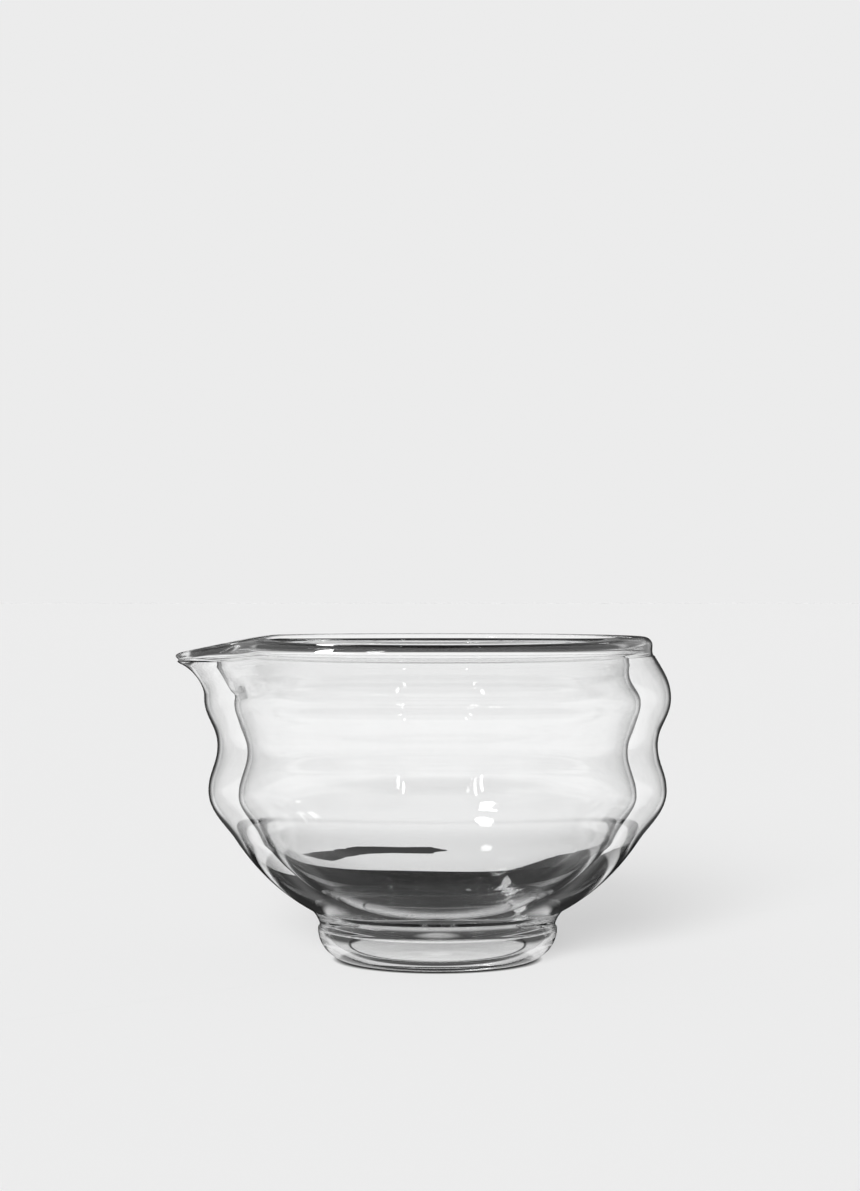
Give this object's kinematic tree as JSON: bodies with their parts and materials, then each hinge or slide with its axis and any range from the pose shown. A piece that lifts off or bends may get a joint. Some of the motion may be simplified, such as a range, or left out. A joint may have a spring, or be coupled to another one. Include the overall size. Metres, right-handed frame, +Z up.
{
  "type": "spouted matcha bowl",
  "caption": "Spouted matcha bowl of clear double-walled glass with a softly waved wall, a thick fused lip and a hollow foot.",
  "frame": {"origin": "on the bowl's axis at the underside of the foot, where it stands on the table", "axes": "+Z up along the bowl's axis, -X towards the tip of the spout, +Y away from the viewer of the picture"},
  "size_m": [0.1275, 0.12, 0.083],
  "materials": {
    "clear_glass": "polished, fire-smooth"
  },
  "bodies": {
    "root": {"outer_shell": "clear_glass", "inner_bowl": "clear_glass", "rim_lip": "clear_glass", "foot": "clear_glass", "vent_seal": "clear_glass"}
  },
  "joints": []
}
